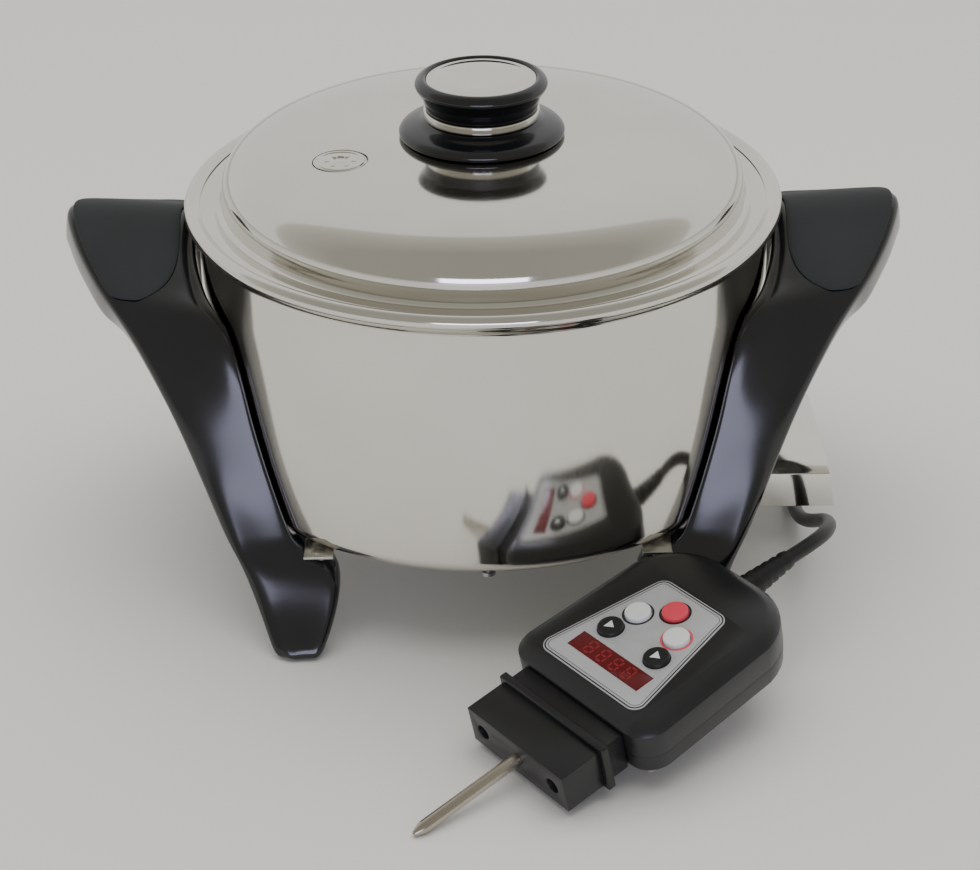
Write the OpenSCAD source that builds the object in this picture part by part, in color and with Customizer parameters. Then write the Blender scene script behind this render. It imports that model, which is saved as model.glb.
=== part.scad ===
// Electric slow cooker: a steel vessel on two black arched handles that are its legs,
// a domed lid, and a plug-in probe controller that lies detached in front of it.
// Millimetres, +Z up, the surface it stands on at z = 0.

/* [Vessel] */
// Outer radius of the vessel wall
wall_r = 120; // [105:1:135]
// Thickness of the vessel wall
wall_t = 3; // [2:0.5:4]
// Height of the vessel from its lower edge to the top of the rim
vessel_h = 118; // [95:1:145]
// Gap under the vessel
clearance_h = 42; // [40:1:55]
// How far the rolled rim stands out past the wall
rim_reach = 5; // [3:0.5:7]
// Height of the lower space that holds the heater
heater_space = 13; // [12:0.5:18]

/* [Lid] */
// Rise of the dome above its lower edge
dome_h = 21.5; // [16:0.5:30]
// Height of the narrow neck between the flange and the dome
neck_h = 5.2; // [4:0.2:8]
// Thickness of the lid sheet
lid_t = 1.2; // [0.8:0.1:2]
// Width of the flat flange around the neck
flange_w = 6.8; // [5:0.2:9]
// Radius of the vent valve's cap
valve_r = 11; // [8:0.5:14]

/* [Knob] */
// Radius of the widest part of the knob
knob_r = 27.4; // [22:0.2:32]
// Radius of the bell under the knob
bell_r = 34.4; // [29:0.2:38]
// Height of the knob above the bell
knob_h = 16; // [12:0.5:22]

/* [Handles] */
// How far a handle's tip stands out past the rim
handle_reach = 51; // [40:1:65]
// Width of a foot
foot_w = 19; // [17:0.5:24]
// Thickness of the handle's moulded wall
shell_t = 3; // [2:0.5:4]
// Depth of the handle's outer side
shell_depth = 18; // [14:1:22]

/* [Socket] */
// Distance between the two terminal pins
pin_gap = 41; // [36:1:44]
// Radius of a terminal pin
pin_r = 2.4; // [2:0.1:2.8]
// Radius of the probe
probe_r = 2.6; // [2:0.1:3]
// How far the steel hood over the socket stands out from the vessel
hood_reach = 32; // [26:1:40]

/* [Controller] */
// Half of the case's width
case_hw = 40; // [35:0.5:42]
// Length of the case
case_l = 88; // [80:1:110]
// Thickness of the case
case_t = 26; // [26:0.5:32]
// Thickness of the case's moulded wall
case_wall = 2; // [1.5:0.1:2.5]
// Thickness of the plug head
head_t = 17; // [16:0.5:20]
// Length of the plug head
head_l = 18; // [16:1:22]
// Length of the probe past the plug head
probe_l = 50; // [40:1:52]
// Radius of a button
button_r = 5.2; // [4:0.1:5.6]
// Travel of a button
button_travel = 0.6; // [0.3:0.1:0.8]

/* [Cord] */
// Diameter of the cord
cord_d = 6.2; // [5:0.1:6.4]
// Radius of the coil at the middle of its turns
coil_r = 34; // [31:1:38]

/* [Hidden] */

// Clearances
fit_gap = 0.3;
slide_gap = 0.05;

// ---- Vessel -------------------------------------------------------------------------------
rim_z = clearance_h + vessel_h;
rim_r = wall_r + rim_reach;
floor_z = clearance_h + heater_space;
floor_t = 2;
bore_r = wall_r - wall_t;
curl_w = 6;
curl_t = 1.2;
seat_r = bore_r + 1.6;
seat_z = rim_z - 3;
lip_r = 3;
corner_r = 7;

// ---- Heater and socket ----------------------------------------------------------------------
core_t = 6;
core_r = bore_r - 6;
core_z = floor_z - floor_t - core_t;
element_d = 6.6;
element_r = 78;
element_z = core_z + 1;
pin_y = pin_gap / 2;
element_gap = asin(pin_y / element_r);
element_end = element_r * cos(element_gap);
end_r = element_d / 2 + 1;
cover_t = 1.2;
head_hw = pin_y + 7.5;
hood_t = 1.5;
hood_hw = pin_y + 15;
hood_top = clearance_h - 2;
probe_z = hood_top - hood_t - head_t / 2 - 2;
hood_bottom = probe_z - 7;
hood_end = wall_r + hood_reach;
hood_slant = 3.5;
hood_bevel = [8, 2.5];
box_wall = 1.2;
box_x0 = 60;
box_x1 = wall_r - 16;
box_hy = hood_hw - hood_t;
box_z0 = probe_z - 11;
insulator_t = 6;
insulator_x = box_x1 - insulator_t - 1;
pin_tip_x = wall_r + 14;
pin_root_r = pin_r - 0.4;
well_r = probe_r + 0.35;
well_wall = 0.8;
well_end_x = wall_r - 4;
well_start_x = box_x0 + 4;
hood_x0 = box_x1 - 8;

// ---- Lid and knob ---------------------------------------------------------------------------
flange_r = seat_r - fit_gap;
neck_r = flange_r - flange_w;
dome_r = neck_r - 2.5;
flange_z = seat_z + lid_t;
dome_z = flange_z + neck_h - 1.4;
lid_top = dome_z + dome_h;
bell_z = lid_top - 0.9;
bell_h = 9;
band_z = bell_z + bell_h;
band_r = 24;
band_h = 3.4;
grip_z = band_z + band_h;
grip_top = band_z + knob_h + 1;
disc_r = knob_r - 4.7;
bush_r = 5;
screw_r = 2.5;
valve_at = [-57.4, -27];

// Height of the dome's outer face above its edge, at a distance r from the axis
function dome_at(r, rad, h) = h * pow(max(0, 1 - pow(r / rad, 6)), 0.4);
valve_seat_z = dome_z + dome_at(norm(valve_at) + valve_r, dome_r, dome_h) - 1;
valve_travel = 1.5;
valve_stem_r = 2.1;
grommet_t = 1;

// ---- Handles --------------------------------------------------------------------------------
hug_r = wall_r + 1.5;
tip_x = rim_r + handle_reach;
foot_y = wall_r - 1;
foot_x = wall_r * 0.575;
toe_x = wall_r * 0.5;
foot_end = foot_x + foot_w;
leg_end = foot_end + 17;
deck_z = rim_z - 11;
ledge_z = clearance_h - 1;

// One half of the arch from its ridge to the front foot, as shares of its spread and height:
// [y at the vessel, z, y at the outer edge, z at the outer edge, x of the outer edge]
edge_shares = [
    [0, 1.01, 0, 1.045, 1],
    [0.2, 0.93, 0.16, 0.985, 0.93],
    [0.38, 0.86, 0.31, 0.9, 0.8],
    [0.53, 0.805, 0.43, 0.82, 0.66],
    [0.605, 0.665, 0.52, 0.69, 0.51],
    [0.665, 0.435, 0.62, 0.49, 0.335],
    [0.735, 0.18, 0.705, 0.24, 0.17],
    [0.79, 0, 0.815, -0.01, 0]];
edge_rows = [for (e = edge_shares) [
    e[0] * foot_y, ledge_z + e[1] * (deck_z - ledge_z),
    e[2] * foot_y, ledge_z + e[3] * (deck_z - ledge_z), leg_end + e[4] * (tip_x - leg_end)]];
// Below the ledge: [y, z, x of the inner edge, x of the outer edge]
foot_rows = [
    [foot_y - 18, ledge_z - 7, toe_x, foot_end + 13],
    [foot_y - 12, 20, toe_x + 1, foot_end + 7.5],
    [foot_y - 4, 7, foot_x - 3.5, foot_end + 2.4],
    [foot_y, 0.6, foot_x, foot_end]];

// A smooth curve through four rows, from the second to the third
function smooth(a, b, c, d, t) =
    0.5 * ((2 * b) + (c - a) * t + (2 * a - 5 * b + 4 * c - d) * t * t
        + (3 * b - a - 3 * c + d) * t * t * t);
function other_side(r) = [-r[0], r[1], -r[2], r[3], r[4]];
arch_steps = 3;
half_rows = concat(
    [for (i = [0 : len(edge_rows) - 2], k = [0 : arch_steps - 1])
        smooth(i == 0 ? other_side(edge_rows[1]) : edge_rows[i - 1], edge_rows[i],
            edge_rows[i + 1], edge_rows[min(i + 2, len(edge_rows) - 1)], k / arch_steps)],
    [edge_rows[len(edge_rows) - 1]]);

// The two edges of the outer face from the ridge to the foot, at +X
function beside_vessel(y) = sqrt(pow(hug_r, 2) - pow(y, 2));
half_edges = concat(
    [for (r = half_rows) [[beside_vessel(r[0]), -r[0], r[1]], [r[4], -r[2], r[3]]]],
    [for (r = foot_rows) [[r[2], -r[0], r[1]], [r[3], -r[0] + 0.4, r[1]]]]);
last = len(half_edges) - 1;
first_level = last - len(foot_rows);

// Direction from the outer face to the hollow side: down at the ridge, level at the feet
function into(i) =
    let (a = half_edges[max(0, i - 1)][1], b = half_edges[min(last, i + 1)][1],
        n = [0, a[2] - b[2], b[1] - a[1]])
    i == 0 ? [0, 0, -1] : i >= first_level ? [0, 1, 0] : n / norm(n);

// The moulded channel: a web with a short side at the vessel and a deep outer side
function channel(l, d, t, e) = [
    [0, e], [0, 2.5], [2.5, 0], [l * 0.35, -0.6], [l * 0.7, -0.6], [l - 4, 0], [l - 1, 1.2],
    [l, 4], [l + d * 0.12, d], [l + d * 0.12 - t, d], [l - t, 4.5], [l - t - 2, t + 0.6],
    [l * 0.7, t], [l * 0.35, t], [t + 1, t], [t, t + 1.5], [t, e]];
// The inner side follows the vessel's wall, and is cut short over the bracket
function inner_depth(y) = 5 + 11 * max(0, min(1, (abs(y) - 14) / 16));
function off_wall(p, r) = let (d = norm([p[0], p[1]]))
    d < r ? [p[0] * r / d, p[1] * r / d, p[2]] : p;
function station(i) =
    let (e = half_edges[i], l = norm(e[1] - e[0]), u = (e[1] - e[0]) / l, w = into(i),
        c = channel(l, shell_depth, shell_t, inner_depth(e[0][1])), n = len(c))
    [for (k = [0 : n - 1]) let (p = e[0] + u * c[k][0] + w * c[k][1])
        i >= first_level ? p : k < 2 ? off_wall(p, wall_r + 0.7)
            : k > n - 4 ? off_wall(p, wall_r + 0.7 + shell_t) : p];
function flip_y(p) = [p[0], -p[1], p[2]];
handle_rings = concat(
    [for (i = [last : -1 : 0]) station(i)],
    [for (i = [1 : last]) [for (p = station(i)) flip_y(p)]]);

// ---- Controller -----------------------------------------------------------------------------
// The face's middle, and how the case lies: turned, with its probe's tip on the surface
lie_turn = 217.8;
lie_tilt = 12;
face_xy = [58.3, -159.4];
nose_x = 36;
tail_x = nose_x - case_l;
panel_l = 58;
panel_front = 28.2;
panel_back = 19;
panel_t = 1;
top_z = -1.2;
roof_z = top_z - 2;
seam_z = -15.5;
seam_gap = 0.05;
axis_z = -15.5;
collar_l = 12;
flange_l = 3.5;
collar_hw = head_hw + 2.2;
collar_t = head_t + 4;
head_x = nose_x + collar_l;
head_end = head_x + head_l;
probe_tip = head_end + probe_l;
board_z = -11.6;
board_t = 1.6;
switch_h = 3.6;
relief_l = 26;
relief_z = -14;
relief_r = cord_d / 2 + 2;
relief_neck = cord_d / 2 + 0.8;
sleeve_r = pin_r + 0.8;
button_spots = [["off", -17.8, 0], ["time", -8.2, -11], ["temp", -8.2, 11], ["up", 4.2, -13.2],
    ["down", 4.2, 13.2]];
window_x = 16.4;
window_w = 9;
window_l = 40;

probe_point = 5;
lie_z = cos(lie_tilt) * (probe_r - axis_z) + sin(lie_tilt) * (probe_tip - probe_point);
face_at = [face_xy[0], face_xy[1], lie_z];

// The whole object is centred between its probe's tip and the back of the rim
tip_y = face_at[1] + sin(lie_turn) * (cos(lie_tilt) * probe_tip + sin(lie_tilt) * axis_z);
axis_y = -(tip_y + rim_r) / 2;
module placed() { translate([0, axis_y, 0]) children(); }
module lying() { placed() translate(face_at) rotate([0, lie_tilt, lie_turn]) children(); }

// ---- Cord -----------------------------------------------------------------------------------
relief_end = face_at + turned([tail_x - relief_l, 0, relief_z]);
function turned(p) = [
    cos(lie_turn) * (cos(lie_tilt) * p[0] + sin(lie_tilt) * p[2]) - sin(lie_turn) * p[1],
    sin(lie_turn) * (cos(lie_tilt) * p[0] + sin(lie_tilt) * p[2]) + cos(lie_turn) * p[1],
    cos(lie_tilt) * p[2] - sin(lie_tilt) * p[0]];
coil_at = [25, 172];
lead_route = [
    [129.5, -104.2, 44.9], [136.6, -95.9, 44.6], [141, -85, 41.6], [142.6, -72.5, 36.2],
    [142.2, -59.5, 28.8], [140.8, -46.5, 20.4], [139.4, -33, 12.8], [138.8, -19, 7.2],
    [139, -4, 4], [140, 13, 3.1], [140, 36, 3.1], [137, 60, 3.1], [131, 84, 3.1],
    [121, 106, 3.1], [107, 123, 3.1], [90, 133.4, 3.1], [70, 137.4, 3.1], [48, 138, 3.1],
    [24.7, 138, 3.1]];
tail_route = [
    [25, 138, 15.5], [10, 137.6, 15], [-5, 136.8, 12.4], [-19, 136.4, 9], [-32, 137.2, 6.4],
    [-44, 139, 5.4]];

// ---- Shared shapes --------------------------------------------------------------------------
module ring(r, h, hole) {
    difference() {
        cylinder(r = r, h = h, $fn = 144);
        translate([0, 0, -1]) cylinder(r = hole, h = h + 2, $fn = 144);
    }
}

// Points of an arc, one every ten degrees
function arc(at, r, from, to) = [for (a = [from : 10 * sign(to - from) : to])
    at + r * [cos(a), sin(a)]];

// A plate between two widths with round corners, its middle line on X
function tapered_plate(x0, hw0, x1, hw1, r) = concat(
    arc([x1 - r, hw1 - r], r, 0, 90), arc([x0 + r, hw0 - r], r, 100, 180),
    arc([x0 + r, r - hw0], r, 180, 260), arc([x1 - r, r - hw1], r, 270, 360));

// The case seen from above, pulled in by an inset
front_r = 11;
back_r = 27;
module case_outline(inset) {
    front = [nose_x - front_r, case_hw - front_r];
    back = [tail_x + back_r, case_hw - back_r - 1.5];
    polygon(concat(
        arc(front, front_r - inset, 0, 90), arc(back, back_r - inset, 100, 180),
        arc([back[0], -back[1]], back_r - inset, 180, 260),
        arc([front[0], -front[1]], front_r - inset, 270, 360)));
}

// A tube swept along a list of points
function unit(v) = v / norm(v);
function direction(p, i) = unit(p[min(len(p) - 1, i + 1)] - p[max(0, i - 1)]);
function cord_ring(p, i, r, n) =
    let (t = direction(p, i), a = unit(cross(t, [0, 0, 1])), b = cross(a, t))
    [for (k = [0 : n - 1]) p[i] + r * (cos(360 * k / n) * a + sin(360 * k / n) * b)];
function along(p, n) = concat(
    [for (i = [0 : len(p) - 2], s = [0 : n - 1])
        smooth(i == 0 ? 2 * p[0] - p[1] : p[i - 1], p[i], p[i + 1],
            i + 2 < len(p) ? p[i + 2] : 2 * p[i + 1] - p[i], s / n)],
    [p[len(p) - 1]]);
module skin(rings, closed_sense) {
    n = len(rings[0]);
    m = len(rings);
    points = [for (r = rings, p = r) p];
    sides = [for (i = [0 : m - 2], k = [0 : n - 1])
        let (a = i * n + k, b = i * n + (k + 1) % n)
        [[a, b, b + n], [a, b + n, a + n]]];
    faces = concat([for (s = sides) s[0]], [for (s = sides) s[1]],
        [[for (k = [n - 1 : -1 : 0]) k]], [[for (k = [0 : n - 1]) (m - 1) * n + k]]);
    polyhedron(points = points,
        faces = closed_sense ? faces : [for (f = faces) [for (k = [len(f) - 1 : -1 : 0]) f[k]]],
        convexity = 10);
}
module cord_tube(route) {
    path = along(route, 2);
    skin([for (i = [0 : len(path) - 1]) cord_ring(path, i, cord_d / 2, 10)], true);
}

// ---- Vessel and heater ----------------------------------------------------------------------
module pot_body() {
    lip_at = [rim_r - lip_r, rim_z - lip_r];
    color("#c9c7c0") placed() rotate_extrude($fn = 144) polygon(concat(
        [[0, floor_z - floor_t], [bore_r, floor_z - floor_t], [bore_r, clearance_h + curl_t],
            [bore_r - curl_w, clearance_h + curl_t], [bore_r - curl_w, clearance_h]],
        arc([wall_r - corner_r, clearance_h + corner_r], corner_r, -90, 0),
        [[wall_r, rim_z - 10.5], [wall_r + 0.5, rim_z - 8.6]],
        arc(lip_at, lip_r, -60, 140),
        [[seat_r, seat_z + 1.2], [seat_r, seat_z], [bore_r, seat_z]],
        arc([bore_r - corner_r, floor_z + corner_r], corner_r, 0, -90),
        [[0, floor_z]]));
}

// The ring that the sheathed element fills, open towards the socket
module element_ring() {
    translate([0, 0, element_z]) rotate([0, 0, element_gap])
        rotate_extrude(angle = 360 - 2 * element_gap, $fn = 96)
            translate([element_r, 0]) circle(d = element_d, $fn = 24);
}
module element_ends(top, bottom) {
    for (s = [-1, 1]) translate([element_end, s * pin_y, bottom])
        cylinder(r = end_r, h = top - bottom, $fn = 32);
}

module core_plate() {
    color("#b9bcc0") placed() difference() {
        translate([0, 0, core_z]) cylinder(r = core_r, h = core_t, $fn = 96);
        element_ring();
        element_ends(element_z + end_r, core_z - 1);
    }
}

module heating_element() {
    color("#6d665c") placed() {
        element_ring();
        element_ends(element_z + end_r, probe_z - end_r);
    }
}

// Carries the vessel's heat to the well that the probe slides into
module sensor_block() {
    color("#a9adb2") placed() difference() {
        translate([box_x0 + 6, -9, probe_z - 5]) cube([20, 18, core_z - probe_z + 5]);
        translate([box_x0, 0, probe_z]) rotate([0, 90, 0])
            cylinder(r = well_r + well_wall, h = 40, $fn = 48);
    }
}

screw_circle = bore_r - 3;
module base_cover() {
    cover_r = bore_r - fit_gap;
    color("#b4b2ab") placed() difference() {
        translate([0, 0, clearance_h + curl_t]) cylinder(r = cover_r, h = cover_t, $fn = 96);
        translate([box_x0 + box_wall, -box_hy + box_wall, clearance_h - 1])
            cube([box_x1 - box_x0 - 2 * box_wall, 2 * (box_hy - box_wall), 6]);
        for (a = [90, 180, 270]) rotate([0, 0, a])
            translate([screw_circle, 0, clearance_h - 1]) cylinder(r = 1.5, h = 6, $fn = 24);
    }
}
module base_screws() {
    color("#8f9092") placed() for (a = [90, 180, 270]) rotate([0, 0, a])
        translate([screw_circle, 0, 0]) {
            translate([0, 0, clearance_h - 1.6]) cylinder(r = 2.9, h = 1.6, $fn = 32);
            translate([0, 0, clearance_h - 0.2]) cylinder(r = 1.5, h = 5, $fn = 24);
        }
}

// The tray under the base that the element's ends and the probe's well come down into
module terminal_box() {
    color("#a8a69f") placed() difference() {
        translate([box_x0, -box_hy, box_z0])
            cube([box_x1 - box_x0, 2 * box_hy, clearance_h + curl_t - box_z0]);
        translate([box_x0 + box_wall, -box_hy + box_wall, box_z0 + box_wall])
            cube([box_x1 - box_x0, 2 * (box_hy - box_wall), clearance_h]);
    }
}

module terminal_insulator() {
    color("#d8d2c4") placed() difference() {
        translate([insulator_x, -box_hy + box_wall, box_z0 + box_wall])
            cube([insulator_t, 2 * (box_hy - box_wall), clearance_h - box_z0 - box_wall]);
        for (s = [-1, 1]) translate([insulator_x - 1, s * pin_y, probe_z])
            rotate([0, 90, 0]) cylinder(r = pin_root_r, h = insulator_t + 2, $fn = 32);
        translate([insulator_x - 1, 0, probe_z]) rotate([0, 90, 0])
            cylinder(r = well_r + well_wall, h = insulator_t + 2, $fn = 48);
    }
}

// Each pin is brazed to an end of the element and is thicker where it stands free
module terminal_pins() {
    root_x = element_end + sqrt(pow(end_r, 2) - pow(pin_root_r, 2));
    free_x = insulator_x + insulator_t;
    color("#cfcfcf") placed() for (s = [-1, 1]) translate([0, s * pin_y, probe_z]) {
        translate([root_x, 0, 0]) rotate([0, 90, 0])
            cylinder(r = pin_root_r, h = free_x - root_x + 0.5, $fn = 32);
        translate([free_x, 0, 0]) rotate([0, 90, 0])
            cylinder(r = pin_r, h = pin_tip_x - free_x - 1.2, $fn = 32);
        translate([pin_tip_x - 1.2, 0, 0]) rotate([0, 90, 0])
            cylinder(r1 = pin_r, r2 = pin_r - 1, h = 1.2, $fn = 32);
    }
}

module thermowell() {
    color("#c2c0b8") placed() translate([well_start_x, 0, probe_z]) rotate([0, 90, 0])
        difference() {
            cylinder(r = well_r + well_wall, h = well_end_x - well_start_x, $fn = 48);
            translate([0, 0, 1.5]) cylinder(r = well_r, h = well_end_x, $fn = 48);
        }
}

// The hood that shields the socket: a folded sheet, open at the bottom and the end
function hood_side(s, t) = [
    [s * (hood_hw - t), hood_bottom], [s * (hood_hw - t), hood_top - hood_bevel[1] - t / 4],
    [s * (hood_hw - hood_bevel[0] - t / 4), hood_top - t]];
function reversed(v) = [for (i = [len(v) - 1 : -1 : 0]) v[i]];
module socket_guard() {
    long = hood_end - hood_x0;
    color("#bdbbb4") placed() difference() {
        translate([hood_x0, 0, 0]) rotate([90, 0, 90]) linear_extrude(long)
            polygon(concat(hood_side(-1, 0), reversed(hood_side(1, 0)),
                hood_side(1, hood_t), reversed(hood_side(-1, hood_t))));
        translate([0, 2 * hood_hw, 0]) rotate([90, 0, 0]) linear_extrude(4 * hood_hw)
            polygon([[hood_end, hood_bottom], [hood_end - hood_slant, hood_top + 1],
                [hood_end + 9, hood_top + 1], [hood_end + 9, hood_bottom]]);
        translate([hood_x0 - 1, -box_hy, hood_bottom + 3])
            cube([box_x1 - hood_x0 + 1, 2 * box_hy, 40]);
    }
}
// They hold the hood's sides to the terminal box
module guard_screws() {
    color("#8f9092") placed() for (s = [-1, 1])
        translate([hood_x0 + 4, s * (box_hy - box_wall), probe_z]) rotate([-90 * s, 0, 0]) {
            cylinder(r = 1.5, h = hood_t + box_wall + 0.1, $fn = 24);
            translate([0, 0, hood_t + box_wall]) cylinder(r = 2.8, h = 1.2, $fn = 32);
        }
}

// ---- Handles --------------------------------------------------------------------------------
module on_side(side) { mirror([side < 0 ? 1 : 0, 0, 0]) children(); }
module handle(side) {
    color("#17181b") placed() on_side(side) skin(handle_rings, false);
}
module handle_left() { handle(-1); }
module handle_right() { handle(1); }

// The soft patch on a handle's deck: a thin cap that follows the deck's rows
pad_rows = 8;
pad_t = 1.4;
function pad_edge(i, v, d) =
    let (e = half_edges[i], w = into(i)) e[0] + (e[1] - e[0]) * v - w * d;
function pad_station(i) = let (v0 = 0.1 + 0.6 * pow(i / pad_rows, 3), v1 = 0.94) [
    pad_edge(i, v0, 0.2), pad_edge(i, v0, pad_t - 0.3), pad_edge(i, v0 + 0.04, pad_t),
    pad_edge(i, (v0 + v1) / 2, pad_t + 0.3), pad_edge(i, v1 - 0.04, pad_t),
    pad_edge(i, v1, pad_t - 0.4), pad_edge(i, v1, 0.2), pad_edge(i, (v0 + v1) / 2, 0.62)];
pad_rings = concat(
    [for (i = [pad_rows : -1 : 0]) pad_station(i)],
    [for (i = [1 : pad_rows]) [for (p = pad_station(i)) flip_y(p)]]);
module grip(side) {
    color("#3a3d40") placed() on_side(side) skin(pad_rings, false);
}
module grip_left() { grip(-1); }
module grip_right() { grip(1); }

// A steel angle on the vessel's wall with a tab under the handle's deck
bracket_hw = 9;
bracket_t = 2;
bracket_z = half_edges[0][0][2] - 5.3 - bracket_t;
bracket_reach = hug_r + 22;
bracket_screw_x = bracket_reach - 8;
bracket_screw_y = 4.6;
module bracket(side) {
    color("#a8a69f") placed() on_side(side) difference() {
        union() {
            intersection() {
                translate([0, 0, bracket_z - 26])
                    ring(wall_r + bracket_t, 26 + bracket_t, wall_r);
                translate([0, -bracket_hw, bracket_z - 26])
                    cube([2 * wall_r, 2 * bracket_hw, 26 + bracket_t]);
            }
            difference() {
                translate([wall_r - 5, -bracket_hw, bracket_z])
                    cube([bracket_reach - wall_r + 5, 2 * bracket_hw, bracket_t]);
                cylinder(r = wall_r + 1, h = rim_z, $fn = 96);
            }
            for (s = [-1, 1]) translate([bracket_screw_x, s * bracket_screw_y, bracket_z])
                cylinder(r = 3.8, h = bracket_t + 2.4, $fn = 32);
        }
        for (s = [-1, 1]) translate([bracket_screw_x, s * bracket_screw_y, bracket_z - 1])
            cylinder(r = 2, h = bracket_t + 4, $fn = 24);
    }
}
module bracket_left() { bracket(-1); }
module bracket_right() { bracket(1); }
module bracket_screws() {
    color("#8f9092") placed() for (side = [-1, 1], s = [-1, 1]) on_side(side)
        translate([bracket_screw_x, s * bracket_screw_y, 0]) {
            translate([0, 0, bracket_z - 2.4]) cylinder(r = 3.6, h = 2.4, $fn = 32);
            translate([0, 0, bracket_z - 0.2]) cylinder(r = 2, h = bracket_t + 4.2, $fn = 24);
        }
}

// Flat tabs under the vessel's rolled lower edge, and the screws up through the ledges
tab_w = 12;
tab_t = 1.2;
tab_x = toe_x + 3;
tab_y = foot_y - 24;
module at_ledges() {
    for (side = [-1, 1], s = [-1, 1]) on_side(side) mirror([0, s > 0 ? 0 : 1, 0]) children();
}
module leg_tabs() {
    color("#a8a69f") placed() at_ledges() difference() {
        translate([tab_x, tab_y - 8, clearance_h - tab_t]) cube([tab_w, 16, tab_t]);
        translate([tab_x + tab_w / 2, tab_y, clearance_h - 3]) cylinder(r = 1.8, h = 5, $fn = 24);
    }
}
module leg_screws() {
    color("#8f9092") placed() at_ledges() translate([tab_x + tab_w / 2, tab_y, 0]) {
        translate([0, 0, ledge_z - 12.4]) cylinder(r = 3.4, h = 2.4, $fn = 32);
        translate([0, 0, ledge_z - 10.2])
            cylinder(r = 1.8, h = clearance_h - ledge_z + 10.2, $fn = 24);
    }
}

// Rubber plugs in the hollow ends of the four feet
module foot_pads() {
    color("#1d1d1f") placed() at_ledges()
        translate([foot_x + shell_t + 0.4, foot_y - shell_depth + 1, 0])
            cube([foot_w - 2 * shell_t - 0.8, shell_depth - shell_t - 3.2, 5]);
}

// ---- Lid ------------------------------------------------------------------------------------
// Shares of the dome's radius, closer together towards its edge
dome_stops = [for (k = [0 : 5 : 90]) sin(k)];
function dome_line(rad, h) = [for (s = dome_stops)
    [s * rad, dome_z + dome_at(s * rad, rad, h)]];
module lid_shell() {
    inner_r = dome_r - lid_t;
    color("#c9c7c0") placed() difference() {
        union() {
            rotate_extrude($fn = 144) polygon(concat(
                dome_line(dome_r, dome_h),
                [[dome_r + 0.3, dome_z - 2], [neck_r - 1.3, flange_z], [neck_r, flange_z - 1],
                    [flange_r, flange_z], [flange_r, flange_z - lid_t],
                    [bore_r - fit_gap, flange_z - lid_t],
                    [bore_r - fit_gap, flange_z - lid_t - 1],
                    [neck_r - 1, flange_z - lid_t - 2], [inner_r, flange_z - 1]],
                reversed(dome_line(inner_r, dome_h - lid_t))));
            translate([valve_at[0], valve_at[1], valve_seat_z - lid_t])
                cylinder(r = valve_r + 1.6, h = lid_t + 0.8, $fn = 64);
        }
        translate([0, 0, lid_top - 6]) cylinder(r = screw_r + 0.3, h = 12, $fn = 32);
        translate([valve_at[0], valve_at[1], valve_seat_z])
            cylinder(r = valve_r + 0.4, h = 20, $fn = 64);
        translate([valve_at[0], valve_at[1], valve_seat_z - 12])
            cylinder(r = valve_stem_r + 0.3, h = 20, $fn = 32);
    }
}

module knob_gasket() {
    color("#a33d2e") placed() translate([0, 0, lid_top - lid_t - 1.4])
        ring(9, 1.2, screw_r + 0.3);
}

// The bell between lid and knob, turned in black phenolic
module knob_bell() {
    color("#17181b") placed() rotate_extrude($fn = 96) polygon([
        [bush_r, bell_z + 1.6], [9, bell_z + 1.6], [bell_r - 7, bell_z + 1.7],
        [bell_r - 4, bell_z + 0.9], [bell_r - 1.2, bell_z + 0.9], [bell_r, bell_z + 2.1],
        [bell_r, bell_z + 3.4], [bell_r - 1.6, bell_z + 5.1], [bell_r - 5, bell_z + 6.3],
        [band_r + 1.6, bell_z + 7.3], [band_r - 1, bell_z + bell_h], [bush_r, bell_z + bell_h]]);
}
module knob_band() {
    color("#d3d1ca") placed() translate([0, 0, band_z]) rotate_extrude($fn = 96)
        polygon([[bush_r, 0], [band_r - 0.6, 0], [band_r, 0.6], [band_r, band_h - 0.6],
            [band_r - 0.6, band_h], [bush_r, band_h]]);
}
module knob_grip() {
    h = grip_top - grip_z;
    color("#17181b") placed() translate([0, 0, grip_z]) rotate_extrude($fn = 96) polygon([
        [bush_r, 0], [band_r - 1, 0], [band_r - 0.4, 2], [band_r + 0.6, h * 0.4],
        [knob_r - 0.8, h * 0.62], [knob_r, h * 0.72], [knob_r, h * 0.8],
        [knob_r - 1, h * 0.92], [disc_r + 1.4, h], [disc_r + 0.1, h - 0.8],
        [disc_r + 0.1, h - 2], [bush_r, h - 2]]);
}
module knob_disc() {
    color("#d3d1ca") placed() translate([0, 0, grip_top - 2]) rotate_extrude($fn = 96)
        polygon([[0, 0], [disc_r, 0], [disc_r, 0.9], [disc_r - 0.5, 1.3],
            [disc_r * 0.6, 1.6], [0, 1.7]]);
}
module knob_insert() {
    color("#b08d4a") placed() translate([0, 0, bell_z + 1.6])
        ring(bush_r, grip_top - 2 - bell_z - 1.6, screw_r);
}
module knob_screw() {
    color("#8f9092") placed() {
        translate([0, 0, lid_top - lid_t - 3.6]) cylinder(r = 5, h = 2.2, $fn = 32);
        translate([0, 0, lid_top - lid_t - 1.8]) cylinder(r = screw_r, h = 14, $fn = 32);
    }
}

module valve_grommet() {
    color("#5b5d60") placed()
        translate([valve_at[0], valve_at[1], valve_seat_z - lid_t - grommet_t])
            ring(6.5, grommet_t, valve_stem_r + 0.3);
}
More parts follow.
